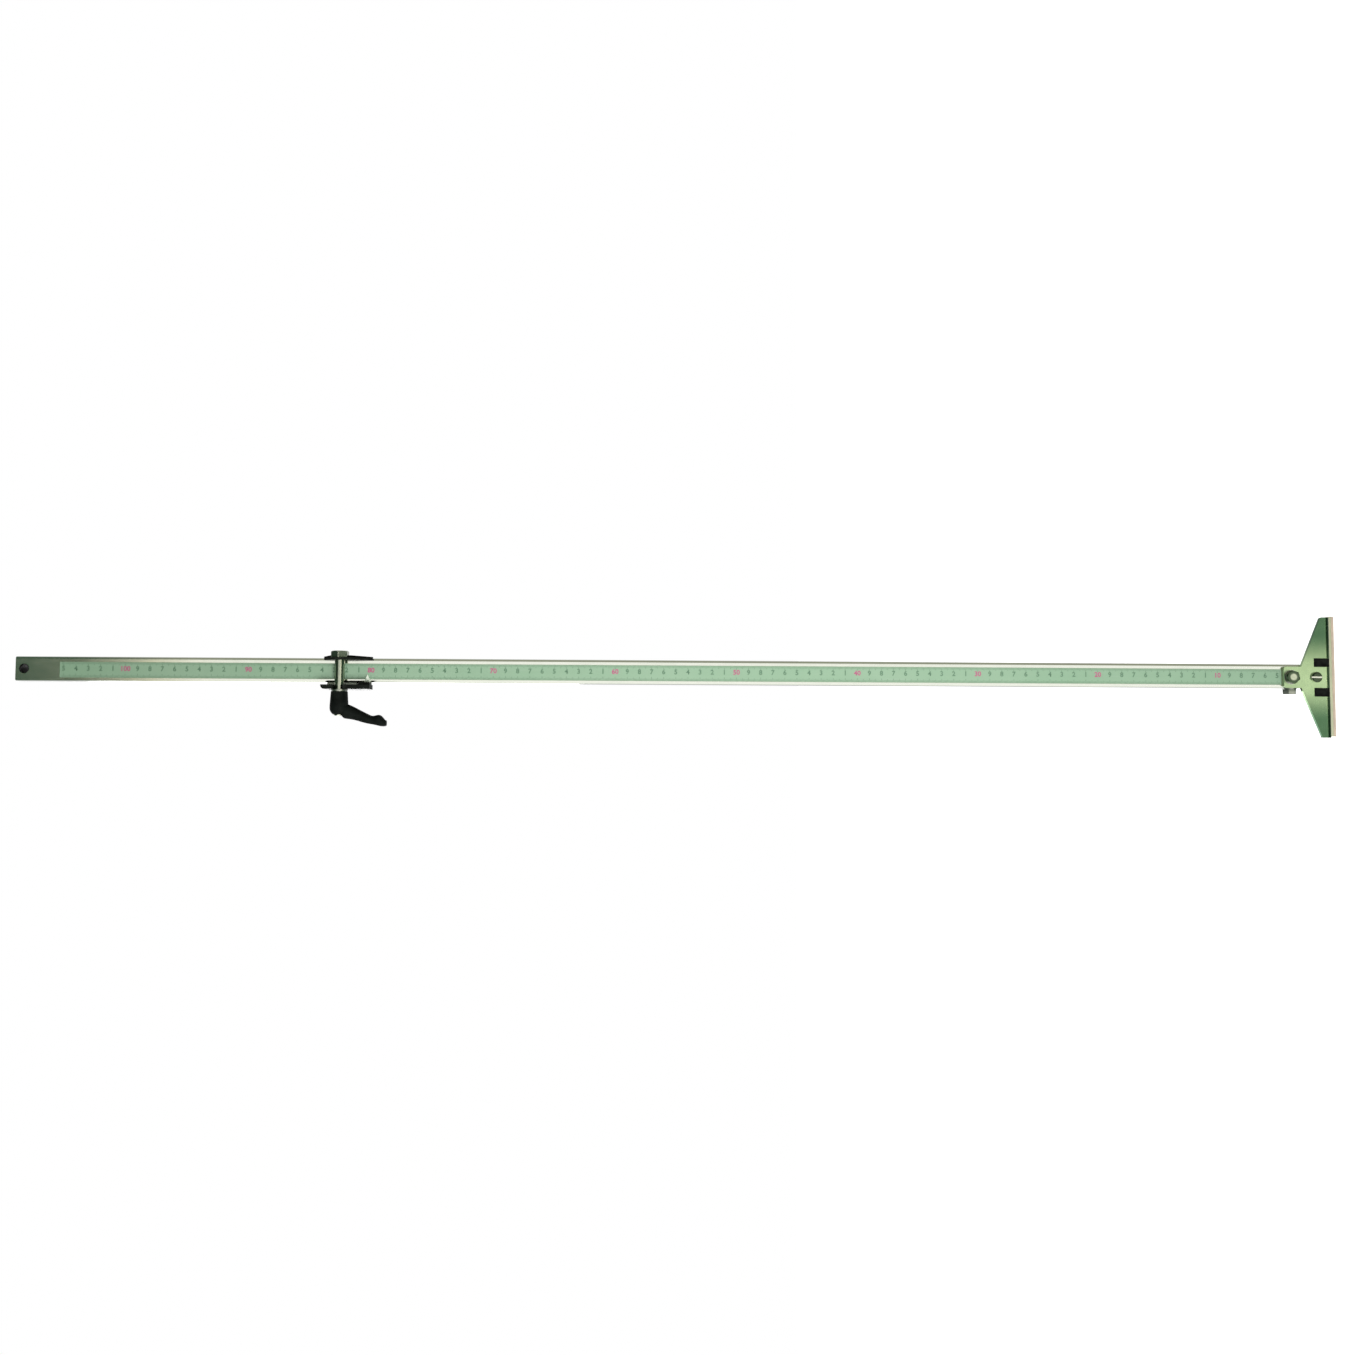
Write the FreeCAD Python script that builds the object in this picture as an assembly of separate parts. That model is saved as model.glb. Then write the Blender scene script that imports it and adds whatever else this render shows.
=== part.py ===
"""Leveling rod: a one-metre steel rod with a scale, a bent sheet foot and a clamping cursor.

Frame: millimetres, +Z up along the rod, +X across the rod, the scale faces -Y.
The origin is on the rod's axis at the underside of the sole, so z is the scale's reading.
"""
import FreeCAD, Part
import math
import os
from FreeCAD import Vector

# ---- rod tube ----
ROD_TOP = 1089.0             # height of the rod's top end above the sole
ROD_BOTTOM = 30.0            # height of the tube's lower end
ROD_WIDTH = 20.0             # across the scale, along X
ROD_DEPTH = 15.0             # front to back, along Y
ROD_WALL = 1.5
ROD_CORNER = 2.0             # outer corner radius
ROD_INNER_CORNER = 0.5       # inner corner radius
HANG_HOLE_R = 3.5
HANG_HOLE_DROP = 6.9         # hole centre below the top end
BOND = 0.02                  # glue or contact gap between faces that lie on each other
NEAR = 0.01                  # an edge lies on a plane when it is this close to it

# ---- scale tape ----
TAPE_WIDTH = 13.0
TAPE_THICK = 0.25
TAPE_TOP = 1053.0
TAPE_OFFSET = -0.8           # centre line from the rod's centre line, along X
TAPE_GAP = 0.8               # from the foot's neck to the tape's lower end

# ---- plugs inside the tube ----
PLUG_CLEAR = 0.05            # between a plug and the inside of the tube
PLUG_LENGTH = 24.0
PLUG_SINK = 0.4              # plug's top face below the tube's end
INSERT_LENGTH = 28.0
INSERT_SINK = 0.5            # insert's lower face above the tube's end

# ---- foot bracket ----
SHEET = 3.0                  # bracket sheet thickness
NECK_WIDTH = 17.8
NECK_TOP = 45.6
NECK_BOTTOM = 31.0           # where the web starts to spread
FOOT_LENGTH = 100.0          # along X
BRACKET_X = -1.0             # the bracket sits this far to one side of the rod
FOOT_BACK = 5.5              # flange's back edge, along Y
WEB_CORNER_Z = 14.0          # height of the web's outer corners
WEB_CORNER_R = 2.0
BEND_R = 5.5                 # outer radius of the bend
BAR_THICK = 2.6
SOLE_THICK = 2.2
WINDOW_X = 12.3              # centre of each window from the middle
WINDOW_WIDTH = 7.2
WINDOW_TOP = 20.2
WINDOW_FLOOR_BACK = 1.5      # how far the window runs back into the flange past the bend

# ---- fasteners: thread radius, width across flats, head height ----
M6_R = 3.0
M6_FLATS = 10.0
M6_HEAD = 4.0
M6_CLEAR = 0.3               # radial clearance of the sheet's holes round an M6 bolt
WASHER_R = 6.0
WASHER_THICK = 0.8
FRONT_BOLT_Z = 39.6
SIDE_BOLT_Z = 36.2
FRONT_BOLT_LENGTH = 11.0
SIDE_BOLT_LENGTH = 7.0
THREAD_GAP = 0.02            # radial gap drawn between a thread and its nut
CROWN_SHARE = 0.95           # flat top of a hex head, as a share of its width across flats
TIP_SHARE = 0.2              # chamfer at a bolt's tip, as a share of its radius
RIM_SHARE = 0.45             # rounding of a pan head's rim, as a share of its height

# ---- magnet block behind the web ----
MAGNET_CLEAR = 0.15          # between the block's poles and the windows
MAGNET_DEPTH = 6.0           # front to back behind the web
MAGNET_TOP = 22.6
MAGNET_ARCH = 13.0           # height of the arch between the poles
MAGNET_PROUD = 0.15          # pole faces stand back from the web's front face by this
M5_R = 2.5
M5_CLEAR = 0.25
MAGNET_SCREW_Z = 18.6
PAN_R = 4.4
PAN_HEIGHT = 2.6
SLOT_WIDTH = 1.3
SLOT_DEPTH = 1.2
NUT_FLATS = 8.0
NUT_THICK = 3.2

# ---- screws between the bar and the flange ----
BASE_SCREW_X = 38.0
BASE_SCREW_Y = 0.3
M4_R = 2.0
M4_HEAD_R = 3.8
M4_HEAD_HEIGHT = 2.2

# ---- cursor ----
CURSOR_LOW = 798.5           # lower end of the clamp body at rest
CURSOR_HIGH = 838.0
BACK_LOW = 803.2             # lower end of the plate behind the rod
SLIDE_GAP = 0.3              # between the cursor and the rod
JAW_THICK = 2.0              # upper jaw
JAW_END_THICK = 0.7          # upper jaw at its ends, where it is tapered
PAD_ROOM = 2.0               # between the rod's side and the lower jaw, filled by the pad
JAW_LOW_THICK = 3.6
BACK_THICK = 3.0
BOLT_Z = 824.3               # clamp bolt's axis
BOLT_R = 4.0
BOLT_GAP = 1.4               # between the bolt and the scale
BOLT_HOLE_CLEAR = 0.2
BOLT_FLATS = 13.0
BOLT_HEAD = 5.3
BOLT_REACH = 7.86            # how far the bolt runs into the lever's hub
LUG_R = 7.8                  # rounded lugs about the bolt
LUG_IN = 2.0                 # how far the upper lug is set in from the jaw
LUG_STEP = 2.0               # depth of the wall that joins the jaw to its lug
LUG_LEAN = math.radians(30)  # from the bolt's front round to where the lug's edges run straight
JAW_END_R = 3.0              # rounded upper corner of the lower jaw
PAD_CLEAR = 0.05
PAD_LOW = 812.5
PAD_MARGIN = 2.0             # pad's upper end below the clamp's upper end
PAD_HALF_DEPTH = 6.5

# ---- pointer ----
POINTER_Z = 802.6            # tip's reading at rest
POINTER_TIP_X = -3.2
POINTER_HALF = 2.7           # half the triangle's base
POINTER_THICK = 0.8
POINTER_GAP = 0.4            # between the pointer and the tape
BLOCK_LOW = 799.6
BLOCK_HIGH = 808.0
BLOCK_LAP = 0.3              # how far the block reaches in over the rod's edge
BLOCK_DEPTH = 7.0
M3_R = 1.5
M3_HEAD_R = 2.9
M3_HEAD_HEIGHT = 1.7
M3_GRIP = 1.6                # how far the pointer's screw reaches past the jaw
M3_HOLE_SPARE = 0.4          # the tapped hole runs deeper than the screw by this
BLOCK_CHAMFER = 0.3

# ---- clamping lever, distances along the bolt from the hub's inner end ----
THRUST_THICK = 1.2
THRUST_R = 6.6
HUB_START = 0.6              # the handle's hub starts here, past the insert's collar
HUB_R_START = 6.7
HUB_R_END = 7.45
HUB_TAPER_END = 12.0
HUB_END = 20.6
HEEL_R = 6.6
INSERT_COLLAR_R = 6.2
INSERT_R = 5.0
INSERT_END = 12.4
TEETH = 24
TOOTH_HEIGHT = 0.5
TOOTH_ROOT_SHARE = 0.25      # half a tooth's root and tip, as shares of the pitch
TOOTH_TIP_SHARE = 0.13
TOOTH_SINK = 0.1             # how far a tooth's root runs into the insert
COLLAR_GAP = 0.1             # between the insert's collar and the handle
TOOTH_START = 1.0
TOOTH_LENGTH = 2.2
TOOTH_CLEAR = 0.06
SHOULDER_START = 12.8
SHOULDER_END = 14.0
SHOULDER_HOLE_R = 2.8
SPRING_ROOM_R = 4.7
LEVER_HEAD_R = 4.1
LEVER_HEAD_HEIGHT = 2.2
SPRING_R = 3.65              # mean radius
SPRING_WIRE_R = 0.45
SPRING_TURNS = 2.5
SPRING_GAP = 0.05
HEX_SOCKET_FLATS = 3.0
HEX_SOCKET_DEPTH = 1.4
HEAD_SINK = 0.2              # the screw's head stands back from the hub's end by this
TAP_START = 8.4

# arm stations: distance from the hub's axis, centre depth along the bolt, half thickness, half width
ARM_STATIONS = [
    (1.0, 14.8, 6.4, 5.6),
    (8.0, 17.2, 5.9, 5.2),
    (14.0, 19.1, 5.1, 4.7),
    (20.0, 21.5, 4.4, 4.2),
    (24.5, 23.1, 3.8, 4.0),
    (28.0, 23.9, 3.6, 4.0),
    (31.5, 23.9, 4.35, 4.3),
    (35.5, 25.0, 3.9, 4.2),
    (38.6, 26.2, 2.3, 2.8),
]

# ---- derived places ----
FRONT_Y = -ROD_DEPTH / 2
TAPE_FRONT = FRONT_Y - BOND - TAPE_THICK
WEB_FRONT = FRONT_Y - BOND - SHEET
WEB_BACK = FRONT_Y - BOND
FLANGE_LOW = SOLE_THICK + BAR_THICK + 2 * BOND
FLANGE_TOP = FLANGE_LOW + SHEET
SOLE_FRONT = WEB_FRONT + BEND_R
HANG_Z = ROD_TOP - HANG_HOLE_DROP
BOLT_Y = TAPE_FRONT - BOLT_GAP - BOLT_R
JAW_IN = ROD_WIDTH / 2 + SLIDE_GAP
JAW_OUT = JAW_IN + JAW_THICK
LUG_OUT = JAW_OUT - LUG_IN
LUG_LOW = LUG_OUT - JAW_THICK
LUG_BACK = TAPE_FRONT - SLIDE_GAP
BACK_IN = ROD_DEPTH / 2 + SLIDE_GAP
BACK_OUT = BACK_IN + BACK_THICK
JAW_LOW_IN = ROD_WIDTH / 2 + PAD_ROOM
JAW_LOW_OUT = -JAW_LOW_IN - JAW_LOW_THICK
HUB_X = JAW_LOW_OUT - THRUST_THICK - 2 * BOND
BOLT_LENGTH = LUG_OUT - HUB_X + BOLT_REACH
BLOCK_TOP_X = BLOCK_LAP - ROD_WIDTH / 2


def box(x0, x1, y0, y1, z0, z1):
    """A box between two corners."""
    return Part.makeBox(x1 - x0, y1 - y0, z1 - z0, Vector(x0, y0, z0))


def rod(axis, start, radius, length):
    """A cylinder from start along an axis vector."""
    return Part.makeCylinder(radius, length, start, axis)


def rounded_bar(width, depth, corner, z0, z1):
    """A prism along Z with a rounded rectangular section."""
    solid = box(-width / 2, width / 2, -depth / 2, depth / 2, z0, z1)
    upright = [e for e in solid.Edges if abs(e.tangentAt(e.FirstParameter).z) > 0.9]
    return solid.makeFillet(corner, upright)


def hex_prism(centre, axis, flats, height, turn=0.0):
    """A hexagonal prism that starts at centre and runs along an axis vector."""
    radius = flats / math.sqrt(3)
    angles = [math.radians(turn + 60 * i) for i in range(6)]
    points = [Vector(radius * math.cos(a), radius * math.sin(a), 0) for a in angles]
    prism = Part.Face(Part.makePolygon(points + points[:1])).extrude(Vector(0, 0, height))
    prism.Placement = FreeCAD.Placement(centre, FreeCAD.Rotation(Vector(0, 0, 1), axis))
    return prism


def hex_head(centre, axis, flats, height, turn=0.0):
    """A hexagonal bolt head whose outer corners are chamfered to a circle."""
    prism = hex_prism(centre, axis, flats, height, turn)
    corner = flats / math.sqrt(3)
    crown = flats / 2 * CROWN_SHARE
    slope = math.tan(math.radians(30))
    crown_low = height - (corner - crown) * slope
    outline = [
        Vector(0, 0, 0), Vector(corner + 1, 0, 0), Vector(corner + 1, 0, crown_low - slope),
        Vector(crown, 0, height), Vector(0, 0, height),
    ]
    crown = Part.Face(Part.makePolygon(outline + outline[:1])).revolve(Vector(), Vector(0, 0, 1), 360)
    crown.Placement = FreeCAD.Placement(centre, FreeCAD.Rotation(Vector(0, 0, 1), axis))
    return prism.common(crown)


def hex_bolt(seat, inward, radius, flats, head, length, turn=0.0):
    """A bolt whose head sits at seat and whose shank runs inward."""
    outward = inward * -1
    shank = rod(inward, seat, radius, length)
    far = seat + inward * length
    tip = [e for e in shank.Edges if e.CenterOfMass.distanceToPoint(far) < NEAR]
    shank = shank.makeChamfer(radius * TIP_SHARE, tip)
    return hex_head(seat, outward, flats, head, turn).fuse(shank).removeSplitter()


def washer(seat, axis, radius, hole, thickness):
    """A flat washer that starts at seat and runs along an axis vector."""
    disc = rod(axis, seat, radius, thickness)
    return disc.cut(rod(axis, seat - axis, hole, thickness + 2))


def countersunk_screw(head_face, inward, radius, head_radius, head_height, length):
    """A countersunk screw with its flat head face at head_face."""
    cone = Part.makeCone(head_radius, radius, head_height, head_face, inward)
    return cone.fuse(rod(inward, head_face, radius, length)).removeSplitter()


X = Vector(1, 0, 0)
Y = Vector(0, 1, 0)
Z = Vector(0, 0, 1)


# ---------------------------------------------------------------- rod

def hang_hole():
    """The cutter for the hanging hole."""
    return rod(Y, Vector(0, -ROD_DEPTH, HANG_Z), HANG_HOLE_R, 2 * ROD_DEPTH)


def foot_bolt_holes(radius):
    """Cutters for the two foot bolts, from the front and from the -X side."""
    front = rod(Y, Vector(BRACKET_X, WEB_FRONT - 1, FRONT_BOLT_Z), radius, FRONT_BOLT_LENGTH + 1)
    side = rod(X, Vector(-ROD_WIDTH / 2 - 1, 0, SIDE_BOLT_Z), radius, SIDE_BOLT_LENGTH + 1)
    return front.fuse(side)


def make_rod_tube():
    outer = rounded_bar(ROD_WIDTH, ROD_DEPTH, ROD_CORNER, ROD_BOTTOM, ROD_TOP)
    inner_width = ROD_WIDTH - 2 * ROD_WALL
    inner_depth = ROD_DEPTH - 2 * ROD_WALL
    inner = rounded_bar(inner_width, inner_depth, ROD_INNER_CORNER, ROD_BOTTOM - 1, ROD_TOP + 1)
    tube = outer.cut(inner)
    tube = tube.cut(hang_hole())
    return tube.cut(foot_bolt_holes(M6_R + THREAD_GAP))


def inside_plug(z0, z1):
    """A plug that fits the inside of the tube."""
    width = ROD_WIDTH - 2 * ROD_WALL - 2 * PLUG_CLEAR
    depth = ROD_DEPTH - 2 * ROD_WALL - 2 * PLUG_CLEAR
    return rounded_bar(width, depth, ROD_INNER_CORNER + PLUG_CLEAR, z0, z1)


def make_end_plug():
    plug = inside_plug(ROD_TOP - PLUG_SINK - PLUG_LENGTH, ROD_TOP - PLUG_SINK)
    return plug.cut(hang_hole())


def make_tube_insert():
    low = ROD_BOTTOM + INSERT_SINK
    insert = inside_plug(low, low + INSERT_LENGTH)
    return insert.cut(foot_bolt_holes(M6_R + THREAD_GAP))


def make_scale_tape():
    x0 = TAPE_OFFSET - TAPE_WIDTH / 2
    return box(x0, x0 + TAPE_WIDTH, TAPE_FRONT, FRONT_Y - BOND, NECK_TOP + TAPE_GAP, TAPE_TOP)


# ---------------------------------------------------------------- foot

def bracket_profile():
    """The bent sheet's section in the YZ plane, as a face at the foot's -X end."""
    x = BRACKET_X - FOOT_LENGTH / 2
    inner_r = BEND_R - SHEET
    cy = WEB_FRONT + BEND_R
    cz = FLANGE_LOW + BEND_R
    half = math.sqrt(0.5)

    def at(y, z):
        return Vector(x, y, z)

    outer_arc = Part.Arc(at(WEB_FRONT, cz), at(cy - BEND_R * half, cz - BEND_R * half), at(cy, FLANGE_LOW))
    inner_arc = Part.Arc(at(cy, FLANGE_TOP), at(cy - inner_r * half, cz - inner_r * half), at(WEB_BACK, cz))
    edges = [
        Part.LineSegment(at(WEB_FRONT, NECK_TOP), at(WEB_FRONT, cz)),
        outer_arc,
        Part.LineSegment(at(cy, FLANGE_LOW), at(FOOT_BACK, FLANGE_LOW)),
        Part.LineSegment(at(FOOT_BACK, FLANGE_LOW), at(FOOT_BACK, FLANGE_TOP)),
        Part.LineSegment(at(FOOT_BACK, FLANGE_TOP), at(cy, FLANGE_TOP)),
        inner_arc,
        Part.LineSegment(at(WEB_BACK, cz), at(WEB_BACK, NECK_TOP)),
        Part.LineSegment(at(WEB_BACK, NECK_TOP), at(WEB_FRONT, NECK_TOP)),
    ]
    return Part.Face(Part.Wire([e.toShape() for e in edges]))


def bracket_outline():
    """The bracket's outline seen from the front, as a prism through its whole depth."""
    half_foot = FOOT_LENGTH / 2
    half_neck = NECK_WIDTH / 2
    corners = [
        (-half_foot, 0), (-half_foot, WEB_CORNER_Z), (-half_neck, NECK_BOTTOM), (-half_neck, NECK_TOP),
        (half_neck, NECK_TOP), (half_neck, NECK_BOTTOM), (half_foot, WEB_CORNER_Z), (half_foot, 0),
    ]
    points = [Vector(BRACKET_X + x, WEB_FRONT - 1, z) for x, z in corners]
    prism = Part.Face(Part.makePolygon(points + points[:1])).extrude(Vector(0, FOOT_BACK - WEB_FRONT + 2, 0))
    rounded = []
    for edge in prism.Edges:
        middle = edge.CenterOfMass
        along_depth = abs(edge.tangentAt(edge.FirstParameter).y) > 0.9
        if along_depth and (middle.z > NECK_TOP - NEAR or abs(middle.z - WEB_CORNER_Z) < NEAR):
            rounded.append(edge)
    return prism.makeFillet(WEB_CORNER_R, rounded)


def window(sign, clearance):
    """The cutter for one window, which runs from the web through the bend into the flange."""
    x = BRACKET_X + sign * WINDOW_X
    half = WINDOW_WIDTH / 2 - clearance
    back = SOLE_FRONT + WINDOW_FLOOR_BACK - clearance
    return box(x - half, x + half, WEB_FRONT - 1, back, FLANGE_LOW - 1, WINDOW_TOP - clearance)


def base_screw_places():
    return [Vector(sign * BASE_SCREW_X, BASE_SCREW_Y, SOLE_THICK + BOND) for sign in (-1, 1)]


def make_foot_bracket():
    sheet = bracket_profile().extrude(Vector(FOOT_LENGTH, 0, 0))
    bracket = sheet.common(bracket_outline())
    for sign in (-1, 1):
        bracket = bracket.cut(window(sign, 0))
    for height, radius in ((FRONT_BOLT_Z, M6_R + M6_CLEAR), (MAGNET_SCREW_Z, M5_R + M5_CLEAR)):
        bracket = bracket.cut(rod(Y, Vector(BRACKET_X, WEB_FRONT - 1, height), radius, SHEET + 2))
    for place in base_screw_places():
        bracket = bracket.cut(rod(Z, place, M4_R + THREAD_GAP, FLANGE_TOP))
    return bracket


def make_base_bar():
    half = FOOT_LENGTH / 2
    low = SOLE_THICK + BOND
    bar = box(-half, half, SOLE_FRONT, FOOT_BACK, low, low + BAR_THICK)
    for place in base_screw_places():
        bar = bar.cut(Part.makeCone(M4_HEAD_R + BOND, M4_R + BOND, M4_HEAD_HEIGHT, place, Z))
        bar = bar.cut(rod(Z, place, M4_R + BOND, BAR_THICK + 1))
    return bar


def make_sole_strip():
    half = FOOT_LENGTH / 2
    return box(-half, half, SOLE_FRONT, FOOT_BACK, 0, SOLE_THICK)


def make_base_screws():
    length = FLANGE_TOP - SOLE_THICK - BOND
    screws = [
        countersunk_screw(place, Z, M4_R, M4_HEAD_R, M4_HEAD_HEIGHT, length)
        for place in base_screw_places()
    ]
    return Part.makeCompound(screws)


def make_magnet_block():
    """A horseshoe-shaped block behind the web, whose two legs fill the windows."""
    half = WINDOW_X + WINDOW_WIDTH / 2 - MAGNET_CLEAR
    gap = WINDOW_X - WINDOW_WIDTH / 2 + MAGNET_CLEAR
    left, right = BRACKET_X - half, BRACKET_X + half
    low = FLANGE_TOP + BOND
    back = WEB_BACK + MAGNET_DEPTH
    block = box(left, right, WEB_BACK + BOND, back, low, MAGNET_TOP)
    block = block.cut(box(left, right, WEB_BACK, SOLE_FRONT + BOND, low, FLANGE_LOW + BEND_R + BOND))
    block = block.cut(box(BRACKET_X - gap, BRACKET_X + gap, WEB_BACK, back + 1, low - 1, MAGNET_ARCH))
    reach = rounded_web_body()
    for sign in (-1, 1):
        block = block.fuse(window(sign, MAGNET_CLEAR).common(reach))
    hole = Vector(BRACKET_X, WEB_FRONT, MAGNET_SCREW_Z)
    block = block.cut(rod(Y, hole, M5_R + M5_CLEAR, MAGNET_DEPTH + SHEET + 1))
    return block.removeSplitter()


def rounded_web_body():
    """The space behind the web's front face, set back a little, with the same bend."""
    half = FOOT_LENGTH / 2
    front = WEB_FRONT + MAGNET_PROUD
    low = FLANGE_LOW + MAGNET_PROUD
    body = box(-half, half, front, FOOT_BACK, low, MAGNET_TOP)
    edge = [
        e for e in body.Edges
        if abs(e.CenterOfMass.y - front) < NEAR and abs(e.CenterOfMass.z - low) < NEAR
    ]
    return body.makeFillet(BEND_R, edge)


def make_magnet_screw():
    seat = Vector(BRACKET_X, WEB_FRONT - BOND, MAGNET_SCREW_Z)
    head = rod(Y * -1, seat, PAN_R, PAN_HEIGHT)
    rim = [e for e in head.Edges if abs(e.CenterOfMass.y - (seat.y - PAN_HEIGHT)) < NEAR]
    head = head.makeFillet(PAN_HEIGHT * RIM_SHARE, rim)
    top = seat.y - PAN_HEIGHT
    half = SLOT_WIDTH / 2
    reach = PAN_R + 1
    slot = box(-half, half, top - 1, top + SLOT_DEPTH, -reach, reach)
    slot.translate(Vector(BRACKET_X, 0, MAGNET_SCREW_Z))
    length = SHEET + MAGNET_DEPTH + NUT_THICK + 1
    return head.cut(slot).fuse(rod(Y, seat, M5_R, length)).removeSplitter()


def make_magnet_nut():
    seat = Vector(BRACKET_X, WEB_BACK + MAGNET_DEPTH + BOND, MAGNET_SCREW_Z)
    nut = hex_head(seat, Y, NUT_FLATS, NUT_THICK)
    return nut.cut(rod(Y, seat - Y, M5_R + THREAD_GAP, NUT_THICK + 2))


def make_foot_bolt_front():
    seat = Vector(BRACKET_X, WEB_FRONT - WASHER_THICK - 2 * BOND, FRONT_BOLT_Z)
    return hex_bolt(seat, Y, M6_R, M6_FLATS, M6_HEAD, FRONT_BOLT_LENGTH, 12)


def make_front_washer():
    seat = Vector(BRACKET_X, WEB_FRONT - BOND, FRONT_BOLT_Z)
    return washer(seat, Y * -1, WASHER_R, M6_R + M6_CLEAR, WASHER_THICK)


def make_foot_bolt_side():
    seat = Vector(-ROD_WIDTH / 2 - WASHER_THICK - 2 * BOND, 0, SIDE_BOLT_Z)
    return hex_bolt(seat, X, M6_R, M6_FLATS, M6_HEAD, SIDE_BOLT_LENGTH, 0)


def make_side_washer():
    seat = Vector(-ROD_WIDTH / 2 - BOND, 0, SIDE_BOLT_Z)
    return washer(seat, X * -1, ROD_DEPTH / 2 - ROD_CORNER, M6_R + M6_CLEAR, WASHER_THICK)


# ---------------------------------------------------------------- cursor

def lug_plate(x0, x1, back):
    """A plate across the bolt: straight along its back, rounded about the bolt, tapering to the ends."""
    rise = LUG_R * math.sin(LUG_LEAN)
    front = BOLT_Y - LUG_R * math.cos(LUG_LEAN)
    corners = [
        (front, BOLT_Z + rise), (back - LUG_STEP, CURSOR_HIGH), (back, CURSOR_HIGH),
        (back, CURSOR_LOW), (back - LUG_STEP, CURSOR_LOW), (front, BOLT_Z - rise),
    ]
    points = [Vector(x0, y, z) for y, z in corners]
    nose = Part.Arc(points[-1], Vector(x0, BOLT_Y - LUG_R, BOLT_Z), points[0])
    outline = Part.Wire([nose.toShape()] + Part.makePolygon(points).Edges)
    return Part.Face(outline).extrude(Vector(x1 - x0, 0, 0))


def jaw_outline(solid):
    """Cuts a jaw's lower end back, in a slope from the scale's plane to the plate behind the rod."""
    points = [
        Vector(-ROD_WIDTH, TAPE_FRONT, CURSOR_LOW), Vector(-ROD_WIDTH, BACK_OUT + 1, BACK_LOW),
        Vector(-ROD_WIDTH, BACK_OUT + 1, CURSOR_LOW - 1), Vector(-ROD_WIDTH, TAPE_FRONT, CURSOR_LOW - 1),
    ]
    slope = Part.Face(Part.makePolygon(points + points[:1])).extrude(Vector(2 * ROD_WIDTH, 0, 0))
    return solid.cut(slope)


def upper_jaw():
    """The upper jaw beside the rod, thickest at the bolt and thin at its ends."""
    points = [
        Vector(JAW_IN, 0, CURSOR_LOW), Vector(JAW_IN + JAW_END_THICK, 0, CURSOR_LOW),
        Vector(JAW_OUT, 0, BOLT_Z - LUG_R), Vector(JAW_OUT, 0, BOLT_Z + LUG_R),
        Vector(JAW_IN + JAW_END_THICK, 0, CURSOR_HIGH), Vector(JAW_IN, 0, CURSOR_HIGH),
    ]
    face = Part.Face(Part.makePolygon(points + points[:1]))
    face.translate(Vector(0, LUG_BACK - LUG_STEP, 0))
    return face.extrude(Vector(0, BACK_OUT - LUG_BACK + LUG_STEP, 0))


def lower_jaw():
    """The lower jaw: a flat bar with an open slot that the bolt drops into from the front."""
    front = BOLT_Y - LUG_R
    jaw = box(JAW_LOW_OUT, -JAW_LOW_IN, front, BACK_OUT, CURSOR_LOW, CURSOR_HIGH)
    corner = [
        e for e in jaw.Edges
        if abs(e.CenterOfMass.x - JAW_LOW_OUT) < NEAR and abs(e.CenterOfMass.z - CURSOR_HIGH) < NEAR
    ]
    jaw = jaw.makeFillet(JAW_END_R, corner)
    half = BOLT_R + BOLT_HOLE_CLEAR
    x0 = JAW_LOW_OUT - 1
    x1 = -JAW_LOW_IN + 1
    slot = box(x0, x1, front - 1, BOLT_Y, BOLT_Z - half, BOLT_Z + half)
    slot = slot.fuse(rod(X, Vector(x0, BOLT_Y, BOLT_Z), half, x1 - x0))
    return jaw.cut(slot)


def make_clamp_body():
    back = box(JAW_LOW_OUT, JAW_IN + JAW_END_THICK, BACK_IN, BACK_OUT, BACK_LOW, CURSOR_HIGH)
    step = box(LUG_LOW, JAW_IN + JAW_END_THICK, LUG_BACK - LUG_STEP, LUG_BACK, CURSOR_LOW, CURSOR_HIGH)
    lug = lug_plate(LUG_LOW, LUG_OUT, LUG_BACK)
    jaws = [jaw_outline(upper_jaw()), jaw_outline(lower_jaw())]
    body = back.fuse(jaws + [step, lug]).removeSplitter()
    hole = rod(X, Vector(LUG_LOW - 1, BOLT_Y, BOLT_Z), BOLT_R + BOLT_HOLE_CLEAR, JAW_THICK + 2)
    body = body.cut(hole)
    head_room = rod(X, Vector(LUG_OUT, BOLT_Y, BOLT_Z), BOLT_FLATS / math.sqrt(3) + BOLT_HOLE_CLEAR, LUG_R)
    body = body.cut(head_room)
    return body.cut(countersunk_cut(pointer_screw_face(), M3_R, M3_HEAD_R, M3_HEAD_HEIGHT, JAW_LOW_THICK))


def make_friction_pad():
    x0 = -JAW_LOW_IN + BOND
    x1 = -ROD_WIDTH / 2 - PAD_CLEAR
    return box(x0, x1, -PAD_HALF_DEPTH, PAD_HALF_DEPTH, PAD_LOW, CURSOR_HIGH - PAD_MARGIN)


def make_clamp_bolt():
    seat = Vector(LUG_OUT + BOND, BOLT_Y, BOLT_Z)
    return hex_bolt(seat, X * -1, BOLT_R, BOLT_FLATS, BOLT_HEAD, BOLT_LENGTH, 30)


# ---------------------------------------------------------------- pointer

def pointer_plane():
    """The pointer plate's back face, just in front of the scale."""
    return TAPE_FRONT - POINTER_GAP


def pointer_screw_face():
    middle_y = pointer_plane() - POINTER_THICK - BLOCK_DEPTH / 2
    return Vector(JAW_LOW_OUT, middle_y, (BLOCK_LOW + BLOCK_HIGH) / 2)


def countersunk_cut(face, radius, head_radius, head_height, depth):
    """The cutter for a countersunk screw that enters along +X."""
    cone = Part.makeCone(head_radius + BOND, radius + BOND, head_height, face, X)
    return cone.fuse(rod(X, face, radius + BOND, depth + 1))


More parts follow.
